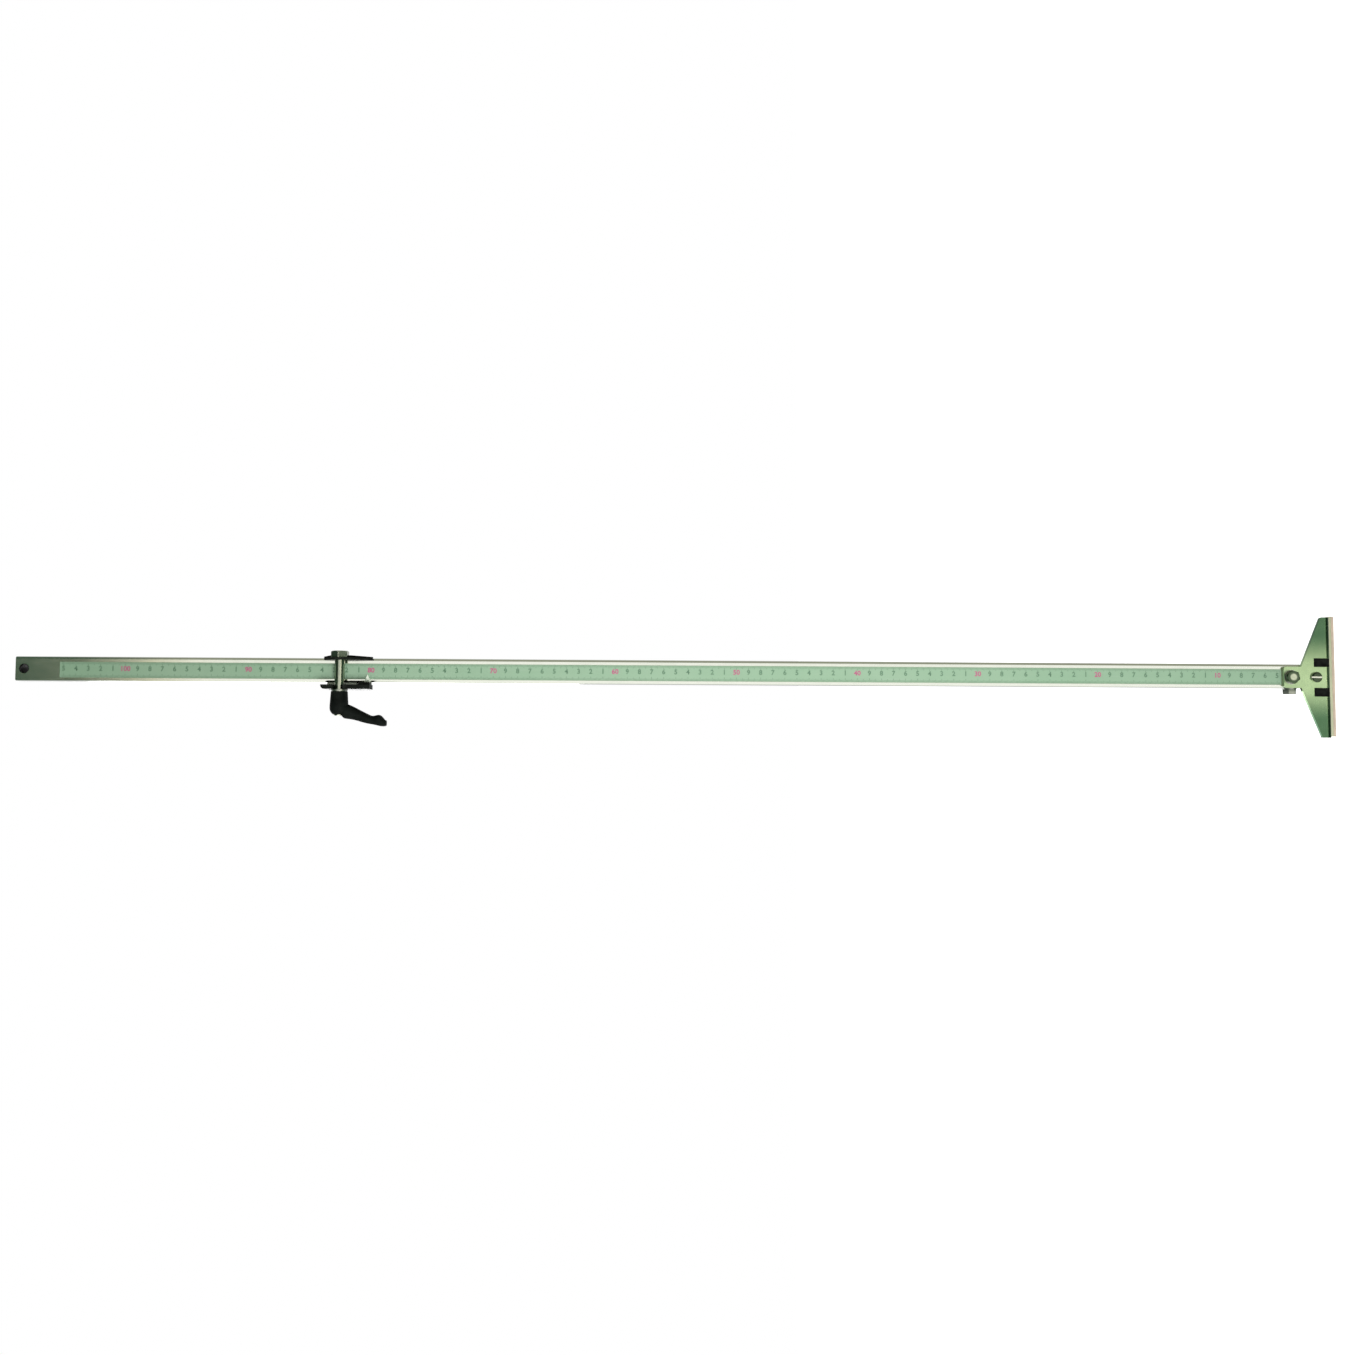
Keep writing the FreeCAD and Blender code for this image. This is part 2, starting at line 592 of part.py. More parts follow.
def make_pointer_block():
    front = pointer_plane() - POINTER_THICK - BOND
    block = box(-JAW_LOW_IN + BOND, BLOCK_TOP_X, front - BLOCK_DEPTH, front, BLOCK_LOW, BLOCK_HIGH)
    outer = [e for e in block.Edges if abs(e.CenterOfMass.x - BLOCK_TOP_X) < NEAR]
    block = block.makeChamfer(BLOCK_CHAMFER, outer)
    return block.cut(rod(X, pointer_screw_face(), M3_R + THREAD_GAP, JAW_LOW_THICK + M3_GRIP + M3_HOLE_SPARE))


def make_pointer():
    y = pointer_plane()
    tab = box(-JAW_LOW_IN + BOND, BLOCK_TOP_X, y - POINTER_THICK, y, BLOCK_LOW, BLOCK_HIGH)
    points = [
        Vector(BLOCK_TOP_X, y, POINTER_Z - POINTER_HALF), Vector(BLOCK_TOP_X, y, POINTER_Z + POINTER_HALF),
        Vector(POINTER_TIP_X, y, POINTER_Z),
    ]
    blade = Part.Face(Part.makePolygon(points + points[:1])).extrude(Vector(0, -POINTER_THICK, 0))
    return tab.fuse(blade).removeSplitter()


def make_pointer_screw():
    length = JAW_LOW_THICK + M3_GRIP
    return countersunk_screw(pointer_screw_face(), X, M3_R, M3_HEAD_R, M3_HEAD_HEIGHT, length)


# ---------------------------------------------------------------- lever

def along_bolt(distance):
    """A point on the bolt's axis, at a distance from the hub's inner end."""
    return Vector(HUB_X - distance, BOLT_Y, BOLT_Z)


def lever_cylinder(radius, start, end):
    return rod(X * -1, along_bolt(start), radius, end - start)


def make_thrust_washer():
    return washer(along_bolt(-BOND - THRUST_THICK), X * -1, THRUST_R, BOLT_R + BOLT_HOLE_CLEAR, THRUST_THICK)


def tooth_ring(root, tip, start, end, widen):
    """Straight teeth from root to tip radius, each widened on both sides."""
    step = 2 * math.pi / TEETH
    ring = []
    for i in range(TEETH):
        middle = i * step
        root_half = step * TOOTH_ROOT_SHARE + widen / root
        tip_half = step * TOOTH_TIP_SHARE + widen / root
        corners = [(root, -root_half), (tip, -tip_half), (tip, tip_half), (root, root_half)]
        points = [
            Vector(0, r * math.cos(middle + a), r * math.sin(middle + a)) for r, a in corners
        ]
        face = Part.Face(Part.makePolygon(points + points[:1]))
        face.translate(along_bolt(start))
        ring.append(face.extrude(Vector(start - end, 0, 0)))
    return ring


def make_lever_insert():
    body = lever_cylinder(INSERT_R, 0, INSERT_END)
    collar = lever_cylinder(INSERT_COLLAR_R, 0, HUB_START - COLLAR_GAP)
    tip_r = INSERT_R + TOOTH_HEIGHT
    teeth = tooth_ring(INSERT_R - TOOTH_SINK, tip_r, TOOTH_START, TOOTH_START + TOOTH_LENGTH, 0)
    insert = body.fuse([collar] + teeth).removeSplitter()
    insert = insert.cut(lever_cylinder(BOLT_R + THREAD_GAP, -1, TAP_START))
    return insert.cut(lever_cylinder(M5_R + THREAD_GAP, TAP_START - 0.5, INSERT_END + 1))


def arm_section(station):
    """One oval section of the arm, square to its length."""
    reach, depth, half_thick, half_width = station
    centre = Vector(HUB_X - depth, BOLT_Y, BOLT_Z - reach)
    long_axis = max(half_thick, half_width)
    short_axis = min(half_thick, half_width) - 0.001
    major = X if half_thick >= half_width else Y
    ellipse = Part.Ellipse(centre + major * long_axis, centre + X.cross(Y).cross(major) * short_axis, centre)
    return Part.Wire([ellipse.toShape()])


def make_lever_handle():
    heel = lever_cylinder(HUB_R_END, HUB_TAPER_END, HUB_END)
    rim = [e for e in heel.Edges if abs(e.CenterOfMass.x - (HUB_X - HUB_END)) < NEAR]
    heel = heel.makeFillet(HEEL_R, rim)
    height = HUB_TAPER_END - HUB_START
    skirt = Part.makeCone(HUB_R_START, HUB_R_END, height, along_bolt(HUB_START), X * -1)
    arm = Part.makeLoft([arm_section(s) for s in ARM_STATIONS], True, False)
    handle = heel.fuse([skirt, arm]).removeSplitter()
    handle = handle.cut(lever_cylinder(INSERT_R + TOOTH_CLEAR, HUB_START - 1, SHOULDER_START))
    gap_end = TOOTH_START + TOOTH_LENGTH + COLLAR_GAP
    gap_tip_r = INSERT_R + TOOTH_HEIGHT + TOOTH_CLEAR
    gaps = tooth_ring(INSERT_R, gap_tip_r, HUB_START - TOOTH_START, gap_end, TOOTH_CLEAR)
    handle = handle.cut(gaps)
    handle = handle.cut(lever_cylinder(SHOULDER_HOLE_R, SHOULDER_START - 1, SHOULDER_END + 1))
    return handle.cut(lever_cylinder(SPRING_ROOM_R, SHOULDER_END, HUB_END + HEEL_R))


def make_lever_screw():
    head_start = HUB_END - LEVER_HEAD_HEIGHT
    head = lever_cylinder(LEVER_HEAD_R, head_start, HUB_END - HEAD_SINK)
    socket = hex_prism(along_bolt(HUB_END - HEAD_SINK), X, HEX_SOCKET_FLATS, HEX_SOCKET_DEPTH)
    shank = lever_cylinder(M5_R, TAP_START, head_start + HEAD_SINK)
    return head.cut(socket).fuse(shank).removeSplitter()


def make_lever_spring():
    """A short helical spring between the handle's shoulder and the screw's head."""
    start = SHOULDER_END + SPRING_WIRE_R + SPRING_GAP
    end = HUB_END - LEVER_HEAD_HEIGHT - SPRING_WIRE_R - SPRING_GAP
    rise = end - start
    path = Part.makeHelix(rise / SPRING_TURNS, rise, SPRING_R).Edges[0]
    start_point = path.valueAt(path.FirstParameter)
    wire = Part.Circle(start_point, path.tangentAt(path.FirstParameter), SPRING_WIRE_R)
    spring = Part.Wire([path]).makePipeShell([Part.Wire([wire.toShape()])], True, True)
    spring.Placement = FreeCAD.Placement(along_bolt(start), FreeCAD.Rotation(Z, X * -1))
    return spring


PARTS = {
    "rod_tube": make_rod_tube,
    "scale_tape": make_scale_tape,
    "end_plug": make_end_plug,
    "tube_insert": make_tube_insert,
    "foot_bracket": make_foot_bracket,
    "base_bar": make_base_bar,
    "sole_strip": make_sole_strip,
    "base_screws": make_base_screws,
    "magnet_block": make_magnet_block,
    "magnet_screw": make_magnet_screw,
    "magnet_nut": make_magnet_nut,
    "foot_bolt_front": make_foot_bolt_front,
    "front_washer": make_front_washer,
    "foot_bolt_side": make_foot_bolt_side,
    "side_washer": make_side_washer,
    "clamp_body": make_clamp_body,
    "friction_pad": make_friction_pad,
    "clamp_bolt": make_clamp_bolt,
    "pointer_block": make_pointer_block,
    "pointer": make_pointer,
    "pointer_screw": make_pointer_screw,
    "thrust_washer": make_thrust_washer,
    "lever_insert": make_lever_insert,
    "lever_handle": make_lever_handle,
    "lever_spring": make_lever_spring,
    "lever_screw": make_lever_screw,
}

os.makedirs("parts", exist_ok=True)
for name, make in PARTS.items():
    shape = make()
    shape.exportStep("parts/" + name + ".step")
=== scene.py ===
import math

import bmesh
import bpy
from mathutils import Matrix, Vector


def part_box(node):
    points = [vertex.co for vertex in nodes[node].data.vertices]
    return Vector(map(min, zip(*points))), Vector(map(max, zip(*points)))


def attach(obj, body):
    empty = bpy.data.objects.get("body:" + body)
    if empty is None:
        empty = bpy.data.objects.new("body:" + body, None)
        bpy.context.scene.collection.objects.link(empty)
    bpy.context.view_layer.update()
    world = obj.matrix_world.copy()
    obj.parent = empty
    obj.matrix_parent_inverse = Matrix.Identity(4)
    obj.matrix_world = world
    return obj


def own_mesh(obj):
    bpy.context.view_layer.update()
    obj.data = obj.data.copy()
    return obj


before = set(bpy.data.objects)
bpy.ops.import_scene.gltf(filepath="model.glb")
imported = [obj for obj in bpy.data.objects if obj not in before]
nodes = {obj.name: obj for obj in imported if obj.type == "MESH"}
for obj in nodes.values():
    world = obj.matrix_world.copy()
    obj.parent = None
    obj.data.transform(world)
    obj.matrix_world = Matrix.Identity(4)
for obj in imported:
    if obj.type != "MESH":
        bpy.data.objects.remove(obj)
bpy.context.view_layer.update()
MM = 0.001


# ---------------------------------------------------------------- node helpers

class Graph:
    """A material or world node tree with short ways to add nodes and links."""

    def __init__(self, tree):
        self.tree = tree

    def add(self, kind, **settings):
        node = self.tree.nodes.new(kind)
        for name, value in settings.items():
            setattr(node, name, value)
        return node

    def put(self, socket, value):
        if isinstance(value, bpy.types.NodeSocket):
            self.tree.links.new(value, socket)
        else:
            socket.default_value = value

    def math(self, operation, a, b=0.0, c=0.0, clamp=False):
        node = self.add("ShaderNodeMath", operation=operation, use_clamp=clamp)
        for socket, value in zip(node.inputs, (a, b, c)):
            self.put(socket, value)
        return node.outputs[0]

    def spread(self, value, low, high, to_low=0.0, to_high=1.0, smooth=True):
        kind = "SMOOTHSTEP" if smooth else "LINEAR"
        node = self.add("ShaderNodeMapRange", interpolation_type=kind)
        for socket, v in zip(node.inputs, (value, low, high, to_low, to_high)):
            self.put(socket, v)
        return node.outputs[0]

    def mix(self, factor, a, b, blend="MIX"):
        node = self.add("ShaderNodeMix", data_type="RGBA", blend_type=blend)
        self.put(node.inputs[0], factor)
        self.put(node.inputs[6], a)
        self.put(node.inputs[7], b)
        return node.outputs[2]

    def noise(self, scale, stretch=(1, 1, 1), detail=3.0, rough=0.55):
        """Noise in the row frame; scale is in cycles a metre, and stretch multiplies each axis."""
        place = self.add("ShaderNodeTexCoord")
        mapping = self.add("ShaderNodeMapping")
        mapping.inputs["Scale"].default_value = [scale * s for s in stretch]
        self.put(mapping.inputs["Vector"], place.outputs["Object"])
        node = self.add("ShaderNodeTexNoise", noise_dimensions="3D")
        self.put(node.inputs["Vector"], mapping.outputs["Vector"])
        node.inputs["Scale"].default_value = 1.0
        node.inputs["Detail"].default_value = detail
        node.inputs["Roughness"].default_value = rough
        return node.outputs[0]

    def axis(self, index):
        place = self.add("ShaderNodeTexCoord")
        split = self.add("ShaderNodeSeparateXYZ")
        self.put(split.inputs[0], place.outputs["Object"])
        return split.outputs[index]

    def bump(self, height, strength, distance, rounding=0.0):
        node = self.add("ShaderNodeBump")
        node.inputs["Strength"].default_value = strength
        node.inputs["Distance"].default_value = distance
        self.put(node.inputs["Height"], height)
        if rounding:
            edge = self.add("ShaderNodeBevel", samples=4)
            edge.inputs["Radius"].default_value = rounding
            self.put(node.inputs["Normal"], edge.outputs[0])
        return node.outputs[0]


def rgb(r, g, b):
    return (r, g, b, 1.0)


def material(name):
    m = bpy.data.materials.new(name)
    m.use_nodes = True
    g = Graph(m.node_tree)
    return m, g, m.node_tree.nodes["Principled BSDF"]


# ---------------------------------------------------------------- materials

def metal(name, light, dark, rough=(0.25, 0.4), grain=(60, 60, 3), streak=0.35, rounding=0.0, patina=0.5):
    """Plated or brushed steel: fine streaks along one way, soft blotches and rubbed edges."""
    m, g, p = material(name)
    streaks = g.noise(30, grain, 4.0, 0.6)
    blotch = g.noise(90, (1, 1, 0.5), 4.0, 0.6)
    tone = g.math("ADD", g.math("MULTIPLY", streaks, streak), g.math("MULTIPLY", blotch, patina), clamp=True)
    edge = g.add("ShaderNodeNewGeometry").outputs["Pointiness"]
    worn = g.spread(edge, 0.52, 0.6)
    base = g.mix(g.spread(tone, 0.25, 0.65), rgb(*light), rgb(*dark))
    g.put(p.inputs["Base Color"], g.mix(g.math("MULTIPLY", worn, 0.5), base, rgb(0.86, 0.87, 0.82)))
    p.inputs["Metallic"].default_value = 1.0
    g.put(p.inputs["Roughness"], g.spread(tone, 0.2, 0.7, rough[0], rough[1], False))
    fine = g.noise(600, (1, 1, 0.05) if grain[2] < grain[0] else (0.05, 1, 1), 2.0)
    g.put(p.inputs["Normal"], g.bump(fine, 0.12, 0.00003, rounding))
    return m


def from_axis(cx, cz):
    """A coordinate for tint_along: the distance from an axis along Y through (cx, cz)."""
    def distance(g):
        dx = g.math("SUBTRACT", g.axis(0), cx)
        dz = g.math("SUBTRACT", g.axis(2), cz)
        square = g.math("ADD", g.math("MULTIPLY", dx, dx), g.math("MULTIPLY", dz, dz))
        return g.math("SQRT", square)
    return distance


def from_middle(cx):
    """A coordinate for tint_along: the distance along X from cx."""
    return lambda g: g.math("ABSOLUTE", g.math("SUBTRACT", g.axis(0), cx))


def tint_along(m, coordinate, start, end, near, far):
    """Multiplies a metal's colour by a tint that changes between two places on the part; every use below
    paints shade or a highlight into the colour.
    """
    g = Graph(m.node_tree)
    p = m.node_tree.nodes["Principled BSDF"]
    colour = p.inputs["Base Color"].links[0].from_socket
    share = g.spread(coordinate(g), start, end)
    g.put(p.inputs["Base Color"], g.mix(1.0, colour, g.mix(share, rgb(*near), rgb(*far)), "MULTIPLY"))
    return m


def plastic(name, colour, lift, rough=(0.38, 0.55), grain=2600, rounding=0.0002, depth=0.00004):
    """Moulded or powder-coated black: fine orange-peel grain, dust and paler rubbed edges."""
    m, g, p = material(name)
    speck = g.noise(grain, detail=2.0)
    cloud = g.noise(140, detail=4.0)
    edge = g.add("ShaderNodeNewGeometry").outputs["Pointiness"]
    worn = g.math("MULTIPLY", g.spread(edge, 0.52, 0.62), g.spread(cloud, 0.35, 0.7))
    base = g.mix(g.spread(cloud, 0.35, 0.75), rgb(*colour), rgb(*[c * lift for c in colour]))
    g.put(p.inputs["Base Color"], g.mix(g.math("MULTIPLY", worn, 0.35), base, rgb(0.03, 0.034, 0.03)))
    g.put(p.inputs["Roughness"], g.spread(cloud, 0.3, 0.7, rough[0], rough[1], False))
    p.inputs["Specular IOR Level"].default_value = 0.08
    g.put(p.inputs["Normal"], g.bump(speck, 0.35, depth, rounding))
    return m


def tape_material():
    """Lacquered steel tape: pale green ground, rubbed lacquer, a darker line along both edges."""
    m, g, p = material("tape_lacquer")
    cloud = g.noise(25, (1, 1, 0.25), 4.0, 0.6)
    rub = g.noise(500, (1, 1, 0.04), 3.0)
    ground = g.mix(g.spread(cloud, 0.3, 0.7), rgb(0.235, 0.370, 0.250), rgb(0.270, 0.395, 0.278))
    ground = g.mix(g.math("MULTIPLY", g.spread(rub, 0.6, 0.75), 0.25), ground, rgb(0.34, 0.44, 0.34))
    off = g.math("ABSOLUTE", g.math("ADD", g.axis(0), 0.0008))
    rim = g.spread(off, 0.00585, 0.0063)
    g.put(p.inputs["Base Color"], g.mix(g.math("MULTIPLY", rim, 0.55), ground, rgb(0.16, 0.21, 0.12)))
    g.put(p.inputs["Roughness"], g.spread(rub, 0.3, 0.7, 0.34, 0.5, False))
    p.inputs["Coat Weight"].default_value = 0.15
    p.inputs["Coat Roughness"].default_value = 0.25
    g.put(p.inputs["Normal"], g.bump(rub, 0.08, 0.00002))
    return m


def ink_material(name, colour, worn):
    """Printing ink that thins a little where the lacquer is rubbed."""
    m, g, p = material(name)
    thin = g.spread(g.noise(700, (1, 1, 0.3), 3.0), 0.55, 0.8, 0.0, 0.6)
    g.put(p.inputs["Base Color"], g.mix(thin, rgb(*colour), rgb(*worn)))
    p.inputs["Roughness"].default_value = 0.45
    return m


def soft_material(name, colour, other, rough, grain, depth):
    """Rubber, nylon or lacquer: mottled colour and a fine grain."""
    m, g, p = material(name)
    cloud = g.noise(120, (1, 1, 1), 4.0, 0.6)
    speck = g.noise(grain, detail=3.0)
    g.put(p.inputs["Base Color"], g.mix(g.spread(cloud, 0.3, 0.7), rgb(*colour), rgb(*other)))
    g.put(p.inputs["Roughness"], g.spread(speck, 0.3, 0.7, rough - 0.08, rough + 0.08, False))
    g.put(p.inputs["Normal"], g.bump(speck, 0.3, depth, 0.0002))
    return m


def centre(name):
    """The middle of a node's box at rest, in metres."""
    low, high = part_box(name)
    return (low + high) / 2


HANG_HOLE_DROP = 0.0069                     # hanging hole's centre below the rod's top end
HANG_HOLE_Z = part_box("rod_tube")[1].z - HANG_HOLE_DROP
FRONT_BOLT = centre("foot_bolt_front")
SHEET_X = centre("foot_bracket").x
SCREW_FACE_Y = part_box("magnet_screw")[0].y  # the front of the slotted screw's head
UNTINTED = (1.0, 1.0, 1.0)
SCREW_FACE_PAINTED_SHADE = (0.10, 0.13, 0.10)
PAINTED_HOLE_SHADE = (0.006, 0.006, 0.006)
SHEET_PAINTED_LIT_MIDDLE = (0.58, 0.72, 0.48)
SHEET_PAINTED_DARK_ENDS = (0.12, 0.22, 0.14)
ALONG_Z = (60, 60, 2)
ALONG_X = (2, 60, 60)
ROUND = (20, 20, 20)
finish = {
    # Painted shade: the tube is tinted black out to 3.7 mm from the hanging hole's centre, fading out by 4.2
    # mm. It stands in for the dark inside of the hole, so the hole looks larger than it is.
    "tube": tint_along(
        metal("zinc_tube", (0.93, 0.95, 0.88), (0.82, 0.88, 0.78), (0.10, 0.18), ALONG_Z),
        from_axis(0.0, HANG_HOLE_Z), 0.0037, 0.0042, PAINTED_HOLE_SHADE, UNTINTED),
    # Painted reflection and shade on the foot sheet: lighter across its middle, darker towards both ends,
    # between 6 and 36 mm off its middle.
    "sheet": tint_along(
        metal("zinc_sheet", (0.86, 0.96, 0.84), (0.62, 0.76, 0.62), (0.22, 0.36), ALONG_X, rounding=0.0003),
        from_middle(SHEET_X), 0.006, 0.036, SHEET_PAINTED_LIT_MIDDLE, SHEET_PAINTED_DARK_ENDS),
    "bar": metal("pale_bar", (0.64, 0.68, 0.42), (0.54, 0.60, 0.36), (0.38, 0.5), ALONG_X, rounding=0.0003),
    "bolt": metal(
        "zinc_fastener", (0.66, 0.68, 0.58), (0.44, 0.48, 0.40), (0.16, 0.26), ROUND, rounding=0.0002),
    # Painted dark reflection: the front face of the slotted screw's head is tinted dark.
    "slotted": tint_along(
        metal("slotted_screw", (0.80, 0.82, 0.70), (0.60, 0.64, 0.54), (0.2, 0.3), ROUND, rounding=0.0002),
        lambda g: g.axis(1), SCREW_FACE_Y + 0.0003, SCREW_FACE_Y + 0.0009, SCREW_FACE_PAINTED_SHADE, UNTINTED),
    # Painted highlight and shade on the front bolt's head: pale within 2 mm of its axis, dark beyond 3.4 mm.
    "painted_glint_and_shade": tint_along(
        metal("crowned_bolt", (0.80, 0.84, 0.72), (0.60, 0.66, 0.54), (0.2, 0.3), ROUND, rounding=0.0002),
        from_axis(FRONT_BOLT.x, FRONT_BOLT.z), 0.0020, 0.0034, (0.85, 0.85, 0.80), (0.12, 0.16, 0.12)),
    "cross": metal(
        "clamp_bolt", (0.60, 0.62, 0.52), (0.40, 0.44, 0.36), (0.14, 0.22), ROUND, rounding=0.0009),
    "dark": metal(
        "dark_fastener", (0.20, 0.23, 0.19), (0.10, 0.13, 0.10), (0.32, 0.5), ROUND, rounding=0.0002),
    "steel": metal("steel_block", (0.62, 0.64, 0.60), (0.46, 0.49, 0.45), (0.3, 0.45), ROUND),
    "clamp": plastic("clamp_black", (0.004, 0.005, 0.004), 1.7, (0.34, 0.5), 1800),
    "lever": plastic("lever_black", (0.004, 0.005, 0.0045), 2.0, (0.42, 0.56), 2600, 0.0003, 0.00006),
    "magnet": plastic("magnet_black", (0.002, 0.002, 0.002), 1.6, (0.5, 0.65), 1500),
    "plug": plastic("plug_black", (0.003, 0.003, 0.003), 1.8, (0.5, 0.65), 1800),
    "tape": tape_material(),
    "sole": soft_material("beige_sole", (0.62, 0.50, 0.40), (0.52, 0.42, 0.34), 0.62, 1800, 0.00005),
    "pad": soft_material("pad_nylon", (0.74, 0.77, 0.70), (0.62, 0.66, 0.60), 0.45, 1500, 0.00003),
    "pointer": soft_material("pointer_white", (0.84, 0.90, 0.78), (0.76, 0.84, 0.70), 0.4, 1800, 0.00002),
}
NODE_FINISH = {
    "rod_tube": "tube", "scale_tape": "tape", "end_plug": "plug", "tube_insert": "steel",
    "foot_bracket": "sheet", "base_bar": "bar", "sole_strip": "sole", "base_screws": "bolt",
    "magnet_block": "magnet", "magnet_screw": "slotted", "magnet_nut": "bolt", "foot_bolt_front": "painted_glint_and_shade",
    "front_washer": "bolt", "foot_bolt_side": "dark", "side_washer": "dark", "clamp_body": "clamp",
    "friction_pad": "pad", "clamp_bolt": "cross", "pointer_block": "clamp", "pointer": "pointer",
    "pointer_screw": "dark", "thrust_washer": "dark", "lever_insert": "steel", "lever_handle": "lever",
    "lever_spring": "bolt", "lever_screw": "bolt",
}
for name, key in NODE_FINISH.items():
    data = nodes[name].data
    data.materials.clear()
    data.materials.append(finish[key])


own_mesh(nodes["lever_spring"])


# ---------------------------------------------------------------- printed scale

TAPE_LOW, TAPE_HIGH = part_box("scale_tape")
PRINT_Y = TAPE_LOW.y - 0.03 * MM
FIRST_MM = math.ceil(TAPE_LOW.z / MM) + 1
LAST_MM = math.floor(TAPE_HIGH.z / MM) - 1
TICKS = {1: 1.5, 5: 2.2, 10: 2.9}          # length in mm of a 1, 5 and 10 mm tick
TICK_THICK = 0.22
EDGE_GAP = 0.45                            # from a tick's outer end to the tape's edge
DIGIT_X = 0.1 * MM


def object_from(bm, name, mat):
    mesh = bpy.data.meshes.new(name)
    bm.to_mesh(mesh)
    bm.free()
    mesh.materials.append(mat)
    obj = bpy.data.objects.new(name, mesh)
    bpy.context.scene.collection.objects.link(obj)
    return obj


def tick_length(height):
    for step in (10, 5):
        if height % step == 0:
            return TICKS[step]
    return TICKS[1]


def tick_marks():
    """One thin printed bar a millimetre, along both edges of the tape."""
    bm = bmesh.new()
    for height in range(FIRST_MM, LAST_MM + 1):
        length = tick_length(height) * MM
        half = TICK_THICK / 2 * MM
        for edge, way in ((TAPE_HIGH.x - EDGE_GAP * MM, -1), (TAPE_LOW.x + EDGE_GAP * MM, 1)):
            a, b = sorted((edge, edge + way * length))
            z = height * MM
            corners = [(b, z - half), (b, z + half), (a, z + half), (a, z - half)]
            bm.faces.new([bm.verts.new((x, PRINT_Y, zz)) for x, zz in corners])
    bmesh.ops.recalc_face_normals(bm, faces=bm.faces)
    for f in bm.faces:
        if f.normal.y > 0:
            f.normal_flip()
    return object_from(bm, "scale_ticks", ink_material("ink_dark", (0.060, 0.115, 0.075), (0.20, 0.30, 0.22)))


def number_mesh(text, size):
    """A flat mesh of a number, centred on its origin."""
    curve = bpy.data.curves.new("number", "FONT")
    curve.body = text
    curve.size = size
    curve.align_x = "CENTER"
    curve.align_y = "CENTER"
    curve.offset = size * 0.03
    curve.resolution_u = 3
    obj = bpy.data.objects.new("number", curve)
    bpy.context.scene.collection.objects.link(obj)
    mesh = bpy.data.meshes.new_from_object(obj.evaluated_get(bpy.context.evaluated_depsgraph_get()))
    bpy.data.objects.remove(obj)
    return mesh


def numbers(name, heights, size, mat):
    """Numbers that read along the rod, their tops towards +X."""
    bm = bmesh.new()
    turn = Matrix(((0, 1, 0, 0), (0, 0, -1, 0), (-1, 0, 0, 0), (0, 0, 0, 1)))
    for height, text in heights:
        mesh = number_mesh(text, size)
        mesh.transform(Matrix.Translation((DIGIT_X, PRINT_Y, height * MM)) @ turn)
        bm.from_mesh(mesh)
        bpy.data.meshes.remove(mesh)
    return object_from(bm, name, mat)


centimetres = [(10 * c, str(c % 10)) for c in range(5, 106) if c % 10]
decimetres = [(10 * c, str(c)) for c in range(10, 106, 10)]
ticks = tick_marks()
grey_ink = ink_material("ink_grey", (0.10, 0.19, 0.12), (0.24, 0.36, 0.26))
red_ink = ink_material("ink_red", (0.42, 0.10, 0.20), (0.42, 0.22, 0.27))
small = numbers("scale_numbers", centimetres, 5.4 * MM, grey_ink)
large = numbers("scale_decimetres", decimetres, 5.6 * MM, red_ink)
for piece in (ticks, small, large):
    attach(piece, "rod")


# ---------------------------------------------------------------- stage, light and camera

def make_floor():
    bm = bmesh.new()
    bmesh.ops.create_grid(bm, x_segments=8, y_segments=8, size=4.0)
    floor = object_from(bm, "floor", None)
    floor.data.materials.clear()
    floor.location.z = -0.0004
    m, g, p = material("floor_pale")
    cloud = g.noise(3, detail=2.0)
    g.put(p.inputs["Base Color"], g.mix(cloud, rgb(0.86, 0.87, 0.86), rgb(0.89, 0.90, 0.89)))
    p.inputs["Roughness"].default_value = 0.9
    p.inputs["Emission Color"].default_value = rgb(1, 1, 1)
    seen = g.add("ShaderNodeLightPath").outputs["Is Camera Ray"]
    g.put(p.inputs["Emission Strength"], g.math("MULTIPLY", seen, 0.95))
    floor.data.materials.append(m)
    floor.visible_glossy = False


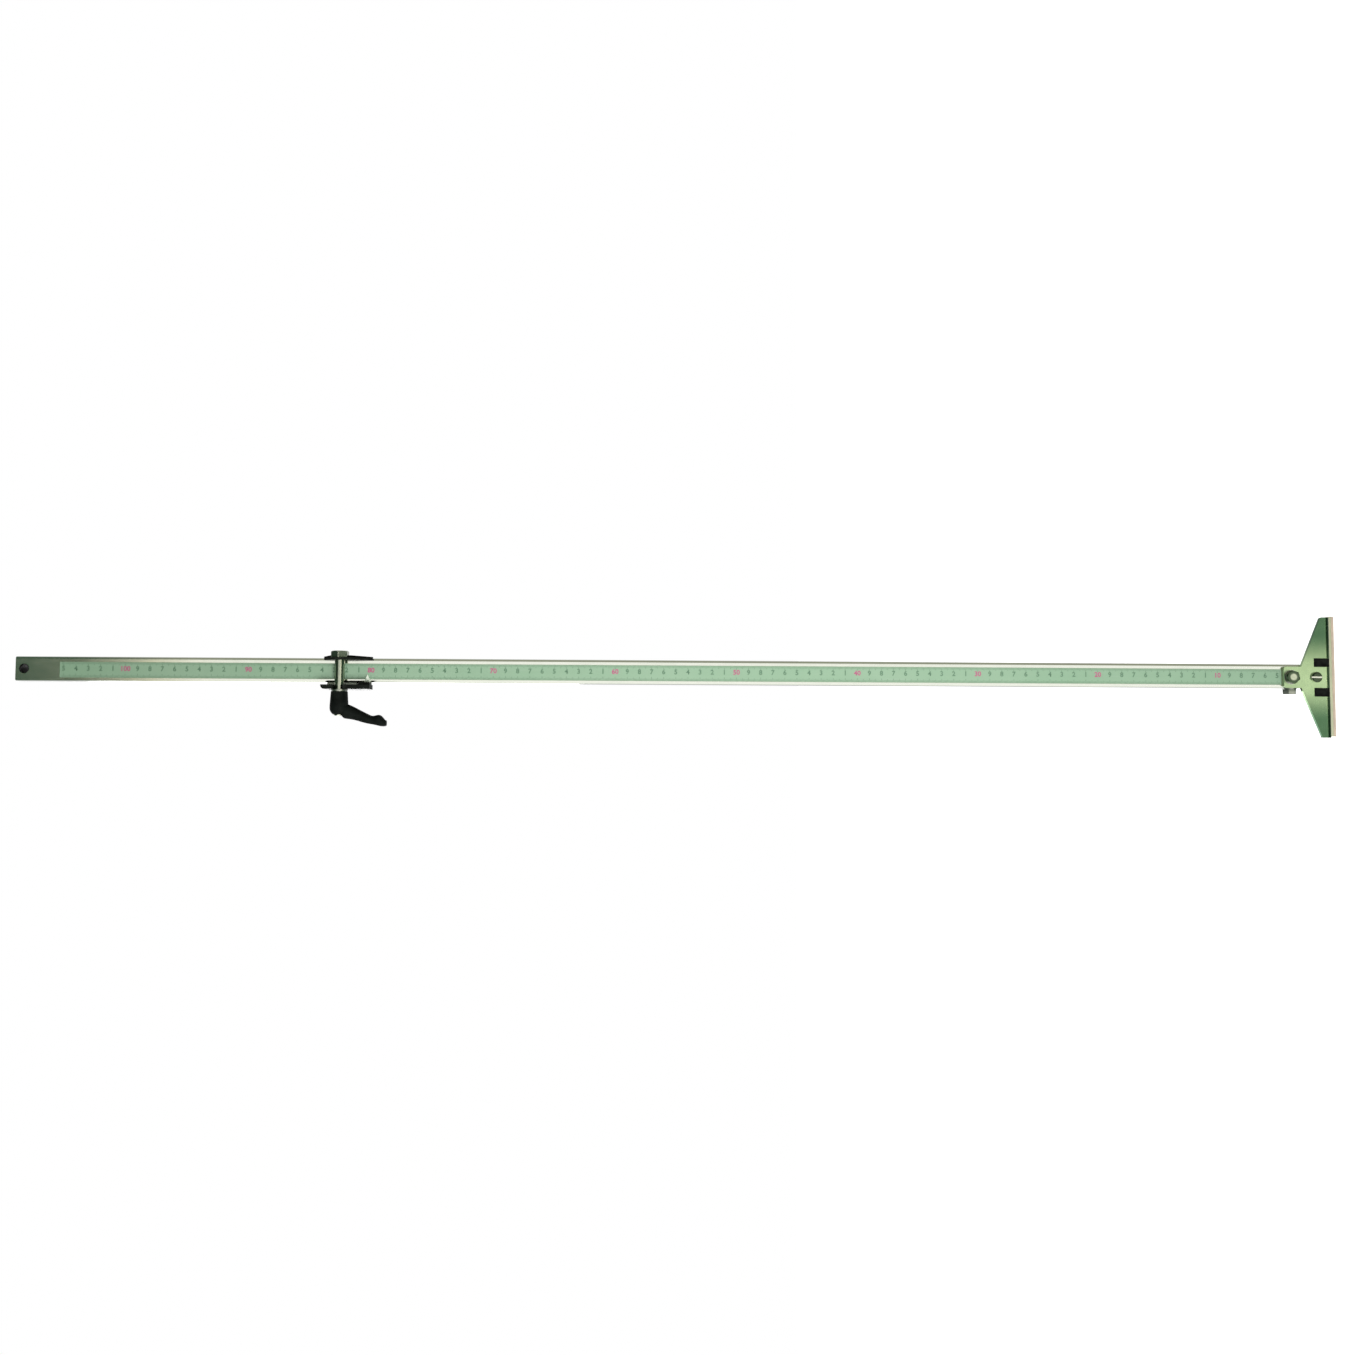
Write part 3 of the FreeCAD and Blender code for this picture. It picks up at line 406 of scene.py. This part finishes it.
def make_world():
    """A white room to the eye; to the object, a bright front and lower side, dark towards both ends."""
    world = bpy.data.worlds.new("studio")
    bpy.context.scene.world = world
    world.use_nodes = True
    g = Graph(world.node_tree)
    world.node_tree.nodes.clear()
    place = g.add("ShaderNodeTexCoord")
    split = g.add("ShaderNodeSeparateXYZ")
    g.put(split.inputs[0], place.outputs["Generated"])
    x, y, z = split.outputs
    high = g.spread(z, 0.352, 0.375, 1.0, 0.0)
    deep = g.spread(z, -0.70, -0.63)
    middle = g.math("MULTIPLY", high, deep)
    below = g.spread(x, 0.06, 0.22, 1.0, 0.0)
    dark = g.mix(g.spread(z, 0.5, 0.85), rgb(0.045, 0.085, 0.055), rgb(0.03, 0.05, 0.035))
    above = g.mix(middle, dark, rgb(0.30, 0.31, 0.24))
    front = g.mix(g.spread(z, 0.325, 0.352, 1.0, 0.0), rgb(0.80, 0.74, 0.44), rgb(1.0, 1.0, 0.95))
    strip = g.math("MULTIPLY", g.spread(z, -0.54, -0.51, 1.0, 0.0), g.spread(z, -0.66, -0.62))
    front = g.mix(strip, front, rgb(2.6, 2.5, 2.0))
    room = g.mix(g.math("MULTIPLY", middle, below), above, front)
    behind = g.spread(y, 0.0, 0.5)
    room = g.mix(behind, room, rgb(0.55, 0.56, 0.55))
    lit = g.add("ShaderNodeBackground")
    g.put(lit.inputs[0], room)
    lit.inputs[1].default_value = 1.0
    seen = g.add("ShaderNodeBackground")
    seen.inputs[0].default_value = rgb(1, 1, 1)
    seen.inputs[1].default_value = 1.0
    pick = g.add("ShaderNodeMixShader")
    g.put(pick.inputs[0], g.add("ShaderNodeLightPath").outputs["Is Camera Ray"])
    g.put(pick.inputs[1], lit.outputs[0])
    g.put(pick.inputs[2], seen.outputs[0])
    out = g.add("ShaderNodeOutputWorld")
    g.put(out.inputs[0], pick.outputs[0])


def area_light(name, place, target, size, size_y, power, colour=(1, 1, 1)):
    lamp = bpy.data.lights.new(name, "AREA")
    lamp.shape = "RECTANGLE"
    lamp.size = size
    lamp.size_y = size_y
    lamp.energy = power
    lamp.color = colour
    obj = bpy.data.objects.new(name, lamp)
    bpy.context.scene.collection.objects.link(obj)
    obj.location = place
    obj.rotation_mode = "QUATERNION"
    obj.rotation_quaternion = (Vector(target) - Vector(place)).to_track_quat("-Z", "Y")
    obj.visible_camera = False
    return obj


def make_camera():
    data = bpy.data.cameras.new("camera")
    data.sensor_width = 36.0
    data.sensor_fit = "HORIZONTAL"
    data.lens = LENS_MM
    data.shift_y = LENS_SHIFT
    data.clip_start = 0.01
    data.clip_end = 50.0
    obj = bpy.data.objects.new("camera", data)
    bpy.context.scene.collection.objects.link(obj)
    view = (Vector(CAMERA_TARGET) - Vector(CAMERA_PLACE)).normalized()
    right = view.cross(Vector((math.cos(CAMERA_ROLL), 0, math.sin(CAMERA_ROLL)))).normalized()
    turn = Matrix((right, right.cross(view), -view)).transposed()
    obj.matrix_world = Matrix.Translation(CAMERA_PLACE) @ turn.to_4x4()
    bpy.context.scene.camera = obj


LENS_MM = 34.945
LENS_SHIFT = -0.02214
CAMERA_PLACE = (-0.04793, -1.09053, 0.57027)
CAMERA_TARGET = (0.02102, 0.0, 0.54858)
CAMERA_ROLL = math.radians(0.301)         # the picture's upward edge, turned from +X towards +Z

make_floor()
make_world()
key = area_light("key", (-0.35, -0.80, 0.46), (0, 0, 0.46), 0.40, 0.40, 9.0)
key.visible_glossy = False
area_light("back_fill", (-0.5, 1.6, 1.2), (0, 0, 0.55), 1.0, 1.0, 12.0)
make_camera()
bpy.context.scene.view_settings.view_transform = "Standard"
